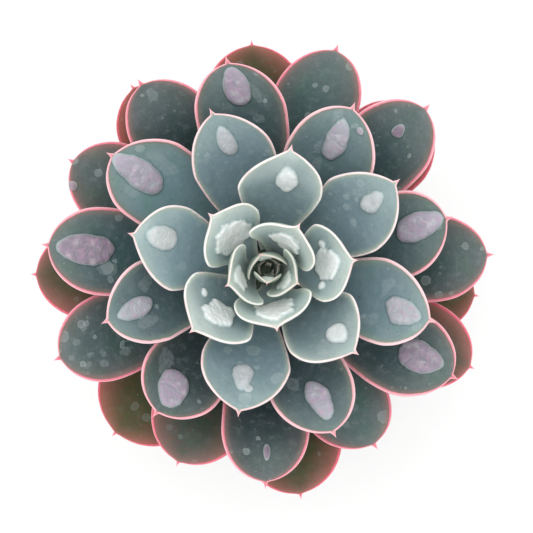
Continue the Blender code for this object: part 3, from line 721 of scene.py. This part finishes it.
class Skin(Paint):
    """A fleshy leaf's skin: powdery body, water marks, flushed margin and raised growths."""

    def __init__(self, name, **look):
        super().__init__(name)
        self.look = SimpleNamespace(**look)
        self.flat = self.attribute("blade_mm", "Vector")
        self.edge = self.attribute("edge", "Fac")
        self.growth = self.attribute("growth", "Fac")
        self.tint = self.attribute("tint", "Color")
        self.broad = self.noise(self.flat, 0.16, 3)
        self.fine = self.noise(self.flat, 1.1, 4, 0.65)
        self.grain = self.noise(self.flat, 4.2, 2, 0.6)
        drift = {0: self.noise_colour(self.flat, 0.9), "Scale": 0.9}
        drift = put(self.tree, "ShaderNodeVectorMath", drift, operation="SCALE").outputs[0]
        bent = put(self.tree, "ShaderNodeVectorMath", {0: self.flat, 1: drift}, operation="ADD")
        self.bent = bent.outputs[0]

    def powdered(self):
        """The leaf's tint, clouded with cooler, warmer, paler and darker patches and dusted with wax."""
        look = self.look
        patches = self.noise(self.flat, 0.45, 3, 0.6)
        colour = self.veil(self.tint, look.cool, self.broad, 0.4, 0.68, 0.175, "ADD")
        colour = self.veil(colour, look.warm, self.broad, 0.5, 0.3, 0.35, "MULTIPLY")
        colour = self.veil(colour, HAZE, patches, 0.5, 0.68, look.haze)
        colour = self.veil(colour, SHADED_SHADE, patches, 0.48, 0.3, 0.3, "MULTIPLY")
        colour = self.veil(colour, FINE_HAZE, self.fine, 0.5, 0.72, 0.6 * look.haze)
        colour = self.veil(colour, SHADED_SHADE, self.fine, 0.5, 0.32, 0.25, "MULTIPLY")
        colour = self.veil(colour, WAX_POWDER, self.grain, 0.52, 0.72, look.bloom)
        return self.veil(colour, PORES, self.grain, 0.46, 0.3, 0.1)

    def water_marked(self, colour):
        """Pale round films with a brighter ring, on the upper side."""
        upper = self.ramp(self.edge, -0.02, 0.02)
        for scale, radius, absent, strength in WATER_MARKS:
            spots = self.cells(self.bent, scale)
            lot = self.split(spots.outputs["Color"])
            size = self.math("MULTIPLY_ADD", lot[0], radius, 0.07)
            depth = self.math("SUBTRACT", size, spots.outputs["Distance"])
            film = self.ramp(depth, 0.0, 0.025)
            ring = self.product(film, self.ramp(depth, 0.075, 0.02, 0, 0.18))
            shown = self.ramp(lot[1], absent, absent + 0.05, 0, self.look.discs * strength)
            shown = self.product(shown, upper)
            film = self.product(film, self.product(shown, 0.36))
            colour = self.mix(film, colour, WATER_FILM)
            colour = self.mix(self.product(ring, shown), colour, WATER_RING)
        return colour

    def flecked(self, colour):
        """The films beside the growths, dark specks and red stains."""
        film = self.ramp(self.attribute("film", "Fac"), 0.3, 0.62)
        film = self.product(film, self.ramp(self.fine, 0.3, 0.6, 0.08, 0.24))
        colour = self.mix(film, colour, DRIED_FILM)
        specks = self.cells(self.flat, 0.8)
        present = self.ramp(self.split(specks.outputs["Color"])[2], 0.66, 0.7, 0, self.look.dots)
        speck = self.product(self.ramp(specks.outputs["Distance"], 0.17, 0.08), present)
        colour = self.mix(speck, colour, DARK_SPECK)
        stains = self.noise(self.flat, 0.35, 4, 0.7)
        return self.veil(colour, RED_STAIN, stains, 0.5, 0.7, self.look.stain)

    def margined(self, colour):
        """The margin: a crisp band with a painted highlight on its very edge, a flush that fades inward
        from it and frosting on old leaves.
        """
        look = self.look
        from_edge = self.math("ABSOLUTE", self.edge)
        wobble = self.math("SUBTRACT", self.noise(self.flat, 0.7, 3), 0.5)
        moved = self.math("MULTIPLY_ADD", wobble, 0.5, from_edge)
        flush = self.ramp(moved, look.flush_depth, look.rim_width * 0.6)
        flush = self.math("POWER", flush, 1.6)
        frost = self.ramp(moved, 2.4 * look.flush_depth, 0.5, 0, look.frosting)
        frost = self.product(frost, self.ramp(self.grain, 0.42, 0.66, 0.25, 1.0))
        flush = self.product(self.math("MAXIMUM", flush, frost), 0.85)
        colour = self.mix(flush, colour, self.attribute("flush", "Color"))
        rim = self.veil(self.attribute("rim", "Color"), RIM_DUST, self.fine, 0.4, 0.75, 0.15)
        # Painted highlight: the margin's outermost fifth of a millimetre is whitened, as if its rounded lip
        # caught the light.
        rim = self.veil(rim, RIM_PAINTED_HIGHLIGHT, from_edge, 0.22, 0.05, look.shine)
        return self.veil(colour, rim, moved, look.rim_width + 0.28, look.rim_width - 0.22)

    def overgrown(self, colour, grown_over):
        """The growths: a glassy collar, then mottled pale flesh with fine cracks."""
        look = self.look
        mottle = self.noise(self.flat, 0.5, 5, 0.68)
        flesh = self.veil(self.attribute("lump", "Color"), look.blush, mottle, 0.44, 0.66, look.mottling)
        cracks = self.cells(self.bent, 0.3, "DISTANCE_TO_EDGE").outputs["Distance"]
        cracked = self.ramp(cracks, 0.035, 0.0)
        cracked = self.product(cracked, self.ramp(self.broad, 0.4, 0.6, 0, 0.35))
        flesh = self.mix(cracked, flesh, CRACK_SHADE, "MULTIPLY")
        flesh = self.veil(flesh, PALE_FLESH, self.noise(self.flat, 0.34, 3), 0.5, 0.75, 0.3)
        flesh = self.veil(flesh, SHADED_SHADE, self.noise(self.flat, 0.4, 3), 0.48, 0.3, 0.35, "MULTIPLY")
        flesh = self.veil(self.mix(0.5, self.tint, GLASSY_COLLAR), flesh, self.growth, 0.05, 0.5)
        shadow = self.ramp(self.growth, -0.5, 0.0, 0, 0.12)
        shadow = self.product(shadow, self.ramp(self.growth, 0.12, -0.02))
        return self.mix(grown_over, self.mix(shadow, colour, FOOT_SHADOW), flesh)

    def painted(self):
        """The finished material."""
        grown_over = self.ramp(self.growth, -0.05, 0.12)
        colour = self.margined(self.flecked(self.water_marked(self.powdered())))
        colour = self.overgrown(colour, grown_over)
        relief = self.math("MULTIPLY_ADD", self.fine, 0.6, self.product(self.grain, 0.4))
        folds = self.product(self.noise(self.flat, 0.9, 5, 0.6), grown_over)
        normal = self.bump(folds, FOLD_RELIEF, self.bump(relief, SKIN_RELIEF))
        return self.finish(
            colour, self.ramp(self.fine, 0.3, 0.7, 0.46, 0.62), normal,
            Sheen_Weight=self.look.sheen, Sheen_Roughness=0.6, Specular_IOR_Level=0.32,
            Subsurface_Weight=0.1, Subsurface_Radius=(1.0, 0.55, 0.4), Subsurface_Scale=0.0012,
        )


# Rim width and flush depth are in millimetres, and the rest are shares, one of them the white of a painted
# highlight on the margin's very edge. Cool is added, warm multiplies and blush is the mottling of the
# growths.
SKINS = {
    "leaf_bud": Skin(
        "skin_bud", rim_width=0.2, flush_depth=1.6, bloom=0.08, haze=0.15, discs=0.1, dots=0.1, stain=0.0,
        frosting=0.0, shine=0.1, mottling=0.2, sheen=0.12,
        cool=(0.05, 0.07, 0.08, 1), warm=(0.9, 0.95, 0.85, 1), blush=(0.7, 0.72, 0.68, 1),
    ).painted(),
    "leaf_inner": Skin(
        "skin_inner", rim_width=0.32, flush_depth=2.6, bloom=0.08, haze=0.16, discs=0.9, dots=0.35,
        stain=0.0, frosting=0.0, shine=0.4, mottling=0.25, sheen=0.12,
        cool=(0.03, 0.05, 0.07, 1), warm=(0.86, 0.96, 0.9, 1), blush=(0.72, 0.70, 0.72, 1),
    ).painted(),
    "leaf_outer": Skin(
        "skin_outer", rim_width=0.58, flush_depth=4.0, bloom=0.05, haze=0.09, discs=0.95, dots=0.75,
        stain=0.03, frosting=0.2, shine=0.4, mottling=0.5, sheen=0.06,
        cool=(0.05, 0.04, 0.07, 1), warm=(0.85, 1.15, 0.85, 1), blush=(0.50, 0.30, 0.45, 1),
    ).painted(),
    "leaf_oldest": Skin(
        "skin_oldest", rim_width=0.72, flush_depth=4.6, bloom=0.03, haze=0.035, discs=0.4, dots=0.7,
        stain=0.2, frosting=0.7, shine=0.3, mottling=0.4, sheen=0.02,
        cool=(0.02, 0.02, 0.01, 1), warm=(0.9, 1.15, 0.6, 1), blush=(0.5, 0.3, 0.3, 1),
    ).painted(),
}


def add(name, data):
    item = bpy.data.objects.new(name, data)
    bpy.context.scene.collection.objects.link(item)
    return item


def new_piece(name, mesh, slot, *replaced):
    piece = add(name, mesh)
    mesh.shade_smooth()
    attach(piece, "root")
    if replaced:
        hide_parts(*replaced)


# Each slot's leaves come before this place.
LEAF_SLOTS = {"leaf_bud": 8, "leaf_inner": 19, "leaf_outer": 37, "leaf_oldest": PLACES}
for node_name in sorted(frame["nodes"]):
    if node_name.startswith("leaf_"):
        place = int(node_name.split("_")[1])
        slot = next(slot for slot, end in LEAF_SLOTS.items() if place < end)
        mesh = leaf_mesh(node_name + "_skin", place)
        mesh.materials.append(SKINS[slot])
        new_piece(node_name + "_skin", mesh, slot, node_name)

# Pot: the CAD pot's profile, as radius, height and corner radius, with the corners rounded more finely.
POT_SIDES = 192
POT_FLOOR = 3.2
POT_RIM_RADIUS = 52.5
BAND_FOOT_RADIUS = 51.9
BAND_FOOT = 82
POT_FOOT_RADIUS = 34.6
POT_FOOT_HEIGHT = 2.2
POT_CORNERS = (
    (0, POT_FLOOR, 0), (34.08, POT_FLOOR, 0.8), (47.9, POT_HEIGHT, 0.9), (POT_RIM_RADIUS, POT_HEIGHT, 1.1),
    (BAND_FOOT_RADIUS, BAND_FOOT, 0.6), (48.34, BAND_FOOT, 0.5), (36.33, POT_FOOT_HEIGHT, 0.5),
    (POT_FOOT_RADIUS, POT_FOOT_HEIGHT, 0.3), (POT_FOOT_RADIUS, 0, 0.6), (0, 0, 0),
)
CORNER_STEPS = 6
LONGEST_RUN = 6
DRAIN_HOLES = 4
DRAIN_RADIUS = 4.5
DRAIN_RING = 20.0


def rounded_profile(corners):
    """A turned profile with its corners rounded and its long runs cut up."""
    out = [corners[0][:2]]
    for (ax, ay, _), (bx, by, radius), (cx, cy, _) in zip(corners, corners[1:], corners[2:]):
        corner = np.array((bx, by), float)
        before = np.array((ax, ay)) - corner
        after = np.array((cx, cy)) - corner
        before, after = before / np.linalg.norm(before), after / np.linalg.norm(after)
        half = np.arccos(np.clip(before @ after, -1, 1)) / 2
        setback = radius / np.tan(half)
        start, end = corner + before * setback, corner + after * setback
        for step in range(CORNER_STEPS + 1):
            share = step / CORNER_STEPS
            out.append(tuple((1 - share) ** 2 * start + 2 * share * (1 - share) * corner + share**2 * end))
    out.append(corners[-1][:2])
    dense = [out[0]]
    for point in out[1:]:
        last = np.array(dense[-1])
        pieces = max(1, int(np.linalg.norm(np.array(point) - last) / LONGEST_RUN))
        dense += [tuple(last + (np.array(point) - last) * (i + 1) / pieces) for i in range(pieces)]
    return dense


def lathe(name, profile, sides, shape=lambda radius, angle, height: (radius, height)):
    """A closed solid turned about the Z axis from a profile that starts and ends on the axis."""
    angles = np.linspace(0, 2 * pi, sides, endpoint=False)
    verts = [(0, 0, profile[0][1] * MM)]
    for radius, height in profile[1:-1]:
        for angle in angles:
            r, z = shape(radius, angle, height)
            verts.append((r * cos(angle) * MM, r * sin(angle) * MM, z * MM))
    verts.append((0, 0, profile[-1][1] * MM))
    rows, last = len(profile) - 2, len(verts) - 1
    faces = []
    for i in range(sides):
        j = (i + 1) % sides
        faces.append((0, 1 + i, 1 + j))
        for row in range(rows - 1):
            a, b = 1 + row * sides, 1 + (row + 1) * sides
            faces.append((a + i, b + i, b + j, a + j))
        faces.append((1 + (rows - 1) * sides + j, 1 + (rows - 1) * sides + i, last))
    mesh = bpy.data.meshes.new(name)
    mesh.from_pydata(verts, [], faces)
    shape_up = bmesh.new()
    shape_up.from_mesh(mesh)
    bmesh.ops.recalc_face_normals(shape_up, faces=shape_up.faces)
    shape_up.to_mesh(mesh)
    shape_up.free()
    return mesh


def drilled(mesh):
    """The pot with its drain holes cut through the floor."""
    shape = bmesh.new()
    radius = DRAIN_RADIUS * MM
    for hole in range(DRAIN_HOLES):
        bearing = 2 * pi * (hole + 0.5) / DRAIN_HOLES
        place = Matrix.Translation((DRAIN_RING * cos(bearing) * MM, DRAIN_RING * sin(bearing) * MM, 0))
        bmesh.ops.create_cone(
            shape, cap_ends=True, segments=40, radius1=radius, radius2=radius, depth=20 * MM, matrix=place
        )
    cutter = add("drills", bpy.data.meshes.new("drills"))
    shape.to_mesh(cutter.data)
    shape.free()
    body = add("pot_blank", mesh)
    cut = body.modifiers.new("drain", "BOOLEAN")
    cut.operation = "DIFFERENCE"
    cut.solver = "EXACT"
    cut.object = cutter
    result = bpy.data.meshes.new_from_object(body.evaluated_get(bpy.context.evaluated_depsgraph_get()))
    for item in (cutter, body):
        bpy.data.objects.remove(item, do_unlink=True)
    return result


# The middle of the pot's wall in metres: its radius at the bench, and how much wider it gets by height.
WALL_MIDDLE_AT_BENCH = 0.0349
WALL_TAPER = 0.1505


def pot_material():
    """Satin white moulded plastic, a little dusty, with faint turning marks and soil splashes."""
    p = Paint("pot_plastic")
    place = put(p.tree, "ShaderNodeTexCoord").outputs["Object"]
    axes = put(p.tree, "ShaderNodeSeparateXYZ", {0: place}).outputs
    height = p.product(axes[2], 1 / MM)
    cloud = p.noise(place, 28.0, 4, 0.6)
    speck = p.noise(place, 900.0, 3, 0.7)
    colour = p.veil((0.66, 0.655, 0.635, 1), (0.73, 0.73, 0.715, 1), cloud, 0.35, 0.7)
    colour = p.veil(colour, (0.5, 0.47, 0.42, 1), speck, 0.58, 0.75, 0.18)
    streaks = put(p.tree, "ShaderNodeMapping", {0: place, 3: (1, 1, 0.4)}).outputs[0]
    runs = p.noise(streaks, 60.0, 4, 0.6)
    grime = p.product(p.ramp(runs, 0.35, 0.85), p.ramp(height, 34.0, 2.0, 0, 0.35))
    colour = p.mix(grime, colour, (0.50, 0.45, 0.37, 1))
    squared = p.math("MULTIPLY_ADD", axes[0], axes[0], p.product(axes[1], axes[1]))
    middle = p.math("MULTIPLY_ADD", axes[2], WALL_TAPER, WALL_MIDDLE_AT_BENCH)
    inside = p.math("LESS_THAN", p.math("SQRT", squared), middle)
    inside = p.product(inside, p.math("GREATER_THAN", height, 3.0))
    dirt = p.product(inside, p.ramp(p.noise(place, 160.0, 5, 0.7), 0.42, 0.6, 0.15, 0.85))
    colour = p.mix(dirt, colour, (0.13, 0.09, 0.06, 1))
    lines = p.math("SINE", p.product(height, 5.2))
    relief = p.math("ADD", p.product(lines, 0.35), p.product(speck, 0.5))
    roughness = p.ramp(cloud, 0.3, 0.7, 0.30, 0.42)
    fixed = {"Coat_Weight": 0.15, "Coat_Roughness": 0.25, "Specular_IOR_Level": 0.5}
    return p.finish(colour, roughness, p.bump(relief, 0.00003), **fixed)


pot_mesh = drilled(lathe("pot_shell", rounded_profile(POT_CORNERS), POT_SIDES))
pot_mesh.name = "pot_shell"
pot_mesh.materials.clear()
pot_mesh.materials.append(pot_material())
new_piece("pot_shell", pot_mesh, "pot", "pot")
pot_mesh.set_sharp_from_angle(angle=radians(50))


def soil_material(name, tinted):
    """Damp dark potting mix, or the loose grains on it, each with a tint of its own."""
    p = Paint(name)
    place = put(p.tree, "ShaderNodeTexCoord").outputs["Object"]
    clods = p.noise(place, 260.0, 6, 0.7)
    along_fibres = put(p.tree, "ShaderNodeMapping", {0: place, 2: (0.4, 0.2, 0.7), 3: (1, 6, 2)}).outputs[0]
    fibre = p.noise(along_fibres, 320.0, 4)
    base = p.attribute("grain_tint", "Color") if tinted else (0.040, 0.027, 0.018, 1)
    colour = p.veil(base, (0.11, 0.075, 0.05, 1), clods, 0.35, 0.7, 0.36)
    colour = p.veil(colour, (0.16, 0.11, 0.07, 1), fibre, 0.6, 0.72, 0.4)
    roughness = p.ramp(clods, 0.3, 0.7, 0.8, 0.97)
    normal = p.bump(p.math("ADD", clods, p.product(fibre, 0.4)), 0.0006)
    return p.finish(colour, roughness, normal, Specular_IOR_Level=0.25)


# Soil: the CAD soil's sizes, a little clear of the pot, and its crumbs: height, wave and seed.
SOIL_EDGE_HEIGHT = 86.0
SOIL_CROWN = 2.5
SOIL_CROWN_RADIUS = 46.9
SOIL_EDGE_RADIUS = 46.55
SOIL_FLOOR_RADIUS = 33.9
SOIL_FLOOR = 4.0
SOIL_RINGS = 62
SOIL_SIDES = 200
CRUMBS = ((0.9, 6, 5), (0.55, 2.2, 6), (0.3, 0.9, 7))
TALLEST_CRUMB = 0.9
CRUMB_SINK = 0.5


def soil_height(radius):
    return SOIL_EDGE_HEIGHT + SOIL_CROWN * (1 - (radius / SOIL_CROWN_RADIUS) ** 2)


def soil_shape(radius, angle, height):
    """Crumbly on top, where the height is over the surface's edge, and plain against the wall."""
    if height < SOIL_EDGE_HEIGHT - 1:
        return radius, height
    x, y = radius * cos(angle), radius * sin(angle)
    crumb = sum(tall * field(x / wave, y / wave, seed) for tall, wave, seed in CRUMBS)
    return radius, height + min(float(crumb), TALLEST_CRUMB) - CRUMB_SINK


soil_profile = [(r, soil_height(r)) for r in np.linspace(0, SOIL_EDGE_RADIUS, SOIL_RINGS)]
soil_profile.append((SOIL_EDGE_RADIUS - 0.15, SOIL_EDGE_HEIGHT - 2))
soil_profile += [(SOIL_FLOOR_RADIUS, SOIL_FLOOR), (0, SOIL_FLOOR)]
soil_mesh = lathe("soil_bed", soil_profile, SOIL_SIDES, soil_shape)
soil_mesh.materials.append(soil_material("potting_mix", False))
new_piece("soil_bed", soil_mesh, "soil", "soil")

# Loose grains of bark, pumice and sand lying on the soil. Every fourth grain is a coarse one.
GRAIN_TINTS = (
    (0.10, 0.06, 0.035), (0.16, 0.10, 0.06), (0.055, 0.036, 0.024), (0.55, 0.52, 0.46), (0.30, 0.26, 0.21),
)
GRAIN_SHARES = (0.33, 0.22, 0.28, 0.07, 0.1)
GRAIN_COUNT = 420
FINE_GRAIN = (0.5, 1.1)
COARSE_GRAIN = (1.0, 2.0)
CLEAR_OF_STEM = 9.5
CLEAR_OF_WALL = 2.4
dice = np.random.default_rng(20)
stock = bmesh.new()
bmesh.ops.create_icosphere(stock, subdivisions=2, radius=1)
ball = np.array([v.co for v in stock.verts])
ball_faces = [[v.index for v in f.verts] for f in stock.faces]
stock.free()
grain_verts, grain_faces, grain_tints = [], [], []
for grain in range(GRAIN_COUNT):
    size = dice.uniform(*(FINE_GRAIN if grain % 4 else COARSE_GRAIN))
    radius = np.sqrt(dice.uniform(CLEAR_OF_STEM**2, (SOIL_EDGE_RADIUS - CLEAR_OF_WALL) ** 2))
    angle = dice.uniform(0, 2 * pi)
    stretch = np.array([dice.uniform(0.8, 1.6), dice.uniform(0.7, 1.1), dice.uniform(0.4, 0.8)])
    lumps = 1 + 0.28 * field(ball[:, 0] * 1.6 + grain, ball[:, 1] * 1.6 + ball[:, 2], grain)
    spin = Matrix.Rotation(dice.uniform(0, 2 * pi), 3, "Z")
    spin = spin @ Matrix.Rotation(dice.uniform(-0.5, 0.5), 3, "X")
    points = (ball * lumps[:, None] * stretch * size) @ np.array(spin).T
    x, y = radius * cos(angle), radius * sin(angle)
    surface = soil_shape(radius, angle, soil_height(radius))[1]
    start = len(grain_verts) * len(ball)
    grain_verts.append((points + (x, y, surface + 0.25 * size)) * MM)
    grain_faces += [[start + i for i in face] for face in ball_faces]
    tint = np.array(GRAIN_TINTS[dice.choice(len(GRAIN_TINTS), p=GRAIN_SHARES)]) * dice.uniform(0.8, 1.2)
    grain_tints += [tint] * len(ball)
grit_mesh = bpy.data.meshes.new("soil_grains")
grit_mesh.from_pydata(np.concatenate(grain_verts).tolist(), [], grain_faces)
store(grit_mesh, "grain_tint", "FLOAT_COLOR", np.array(grain_tints))
grit_mesh.materials.append(soil_material("loose_grains", True))
new_piece("soil_grains", grit_mesh, "soil")

# Stem: the CAD stem's profile with cracked bark and the scars of fallen leaves, each a raised ring.
STEM_SIDES = 72
STEM_ROWS = 120
SCAR_HALF_WIDTH = 2.6
SCAR_HALF_HEIGHT = 1.3
DEEPEST_BARK = -0.4
HIGHEST_BARK = 0.22
stem_points = np.array([v.co for v in frame["nodes"]["stem"].data.vertices]) / MM
levels = np.unique(np.round(stem_points[:, 2], 2))
widths = [np.hypot(*stem_points[np.abs(stem_points[:, 2] - z) < 0.02][:, :2].T).max() for z in levels]
scars = [
    (FIRST_AZIMUTH - TURN * place, POT_HEIGHT + ROSETTE_ABOVE_RIM + ROOT_PITCH * (PLACES - 1 - place))
    for place in FALLEN_PLACES
]


def bark(radius, angle, height):
    if radius < 1:
        return radius, height
    around = radius * angle
    worn = 0.16 * field(around / 2.4, height / 1.1, 31) + 0.1 * field(around / 0.9, height / 2.6, 32)
    for azimuth, level in scars:
        apart = (angle - azimuth + pi) % (2 * pi) - pi
        reach = np.hypot(apart * radius / SCAR_HALF_WIDTH, (height - level) / SCAR_HALF_HEIGHT)
        worn += 0.22 * np.exp(-(((reach - 1) / 0.25) ** 2)) - 0.15 * np.exp(-((reach / 0.8) ** 2))
    return radius + float(np.clip(worn, DEEPEST_BARK, HIGHEST_BARK)), height


heights = np.linspace(levels[-1], levels[0], STEM_ROWS)
stem_profile = [(0, levels[-1])]
stem_profile += [(float(np.interp(z, levels, widths)), float(z)) for z in heights]
stem_profile.append((0, levels[0]))
stem_mesh = lathe("stem_bark", stem_profile, STEM_SIDES, bark)


def bark_material():
    """Tan papery bark low down, green young tissue between the leaf roots higher up."""
    p = Paint("stem_bark")
    place = put(p.tree, "ShaderNodeTexCoord").outputs["Object"]
    height = p.product(put(p.tree, "ShaderNodeSeparateXYZ", {0: place}).outputs[2], 1 / MM)
    along_stem = put(p.tree, "ShaderNodeMapping", {0: place, 3: (1, 1, 0.25)}).outputs[0]
    grain = p.noise(along_stem, 700.0, 5, 0.65)
    blotch = p.noise(place, 240.0, 4, 0.6)
    colour = p.veil((0.12, 0.075, 0.04, 1), (0.34, 0.25, 0.15, 1), grain, 0.35, 0.68)
    colour = p.veil(colour, (0.42, 0.36, 0.27, 1), blotch, 0.52, 0.7, 0.5)
    green = p.veil((0.09, 0.13, 0.08, 1), (0.15, 0.20, 0.14, 1), blotch, 0.35, 0.65)
    colour = p.veil(colour, green, p.math("MULTIPLY_ADD", blotch, 8.0, height), 108.0, 126.0)
    roughness = p.ramp(grain, 0.3, 0.7, 0.6, 0.85)
    return p.finish(colour, roughness, p.bump(grain, 0.0003), Specular_IOR_Level=0.3)


stem_mesh.materials.append(bark_material())
new_piece("stem_bark", stem_mesh, "stem", "stem")

# Camera, straight above the rosette and leaning a little. Its places are in metres.
AIM = Vector((0.0001, 0.0008, 0.130))
CAMERA_DISTANCE = 0.650
LEAN_EAST = radians(-2.0)
LEAN_NORTH = radians(-0.6)
back_axis = Vector((sin(LEAN_EAST), sin(LEAN_NORTH), 1)).normalized()
right_axis = Vector((0, 1, 0)).cross(back_axis).normalized()
up_axis = back_axis.cross(right_axis)
turned_to = Matrix((right_axis, up_axis, back_axis)).transposed().to_4x4()
camera_data = bpy.data.cameras.new("camera")
camera_data.lens = 151.4
camera_data.sensor_width = 36
camera_data.clip_start = 0.01
camera = add("camera", camera_data)
camera.matrix_world = Matrix.Translation(AIM + CAMERA_DISTANCE * back_axis) @ turned_to
bpy.context.scene.camera = camera

# Floor and light, in metres: white paper under a bright overcast sky, with one large soft panel.
FLOOR_HALF = 3
PANEL_PLACE = Vector((-0.12, 0.15, 1.3))
PANEL_AIM = Vector((0, 0, 0.1))
floor_mesh = bpy.data.meshes.new("floor")
floor_corners = [(FLOOR_HALF * x, FLOOR_HALF * y, 0) for x, y in ((-1, -1), (1, -1), (1, 1), (-1, 1))]
floor_mesh.from_pydata(floor_corners, [], [(0, 1, 2, 3)])
paper = Paint("floor_paper")
paper.shader.inputs["Base Color"].default_value = (0.9, 0.9, 0.9, 1)
paper.shader.inputs["Roughness"].default_value = 0.9
floor_mesh.materials.append(paper.material)
add("floor", floor_mesh)

world = bpy.data.worlds.new("sky")
bpy.context.scene.world = world
world.use_nodes = True
sky = world.node_tree.nodes["Background"]
sky.inputs["Color"].default_value = (1, 1, 1, 1)
sky.inputs["Strength"].default_value = 0.95
panel_data = bpy.data.lights.new("panel", "AREA")
panel_data.shape = "DISK"
panel_data.size = 1.4
panel_data.energy = 8
panel = add("panel", panel_data)
panel.location = PANEL_PLACE
panel.rotation_euler = (PANEL_AIM - PANEL_PLACE).to_track_quat("-Z", "Y").to_euler()
bpy.context.scene.view_settings.view_transform = "Standard"
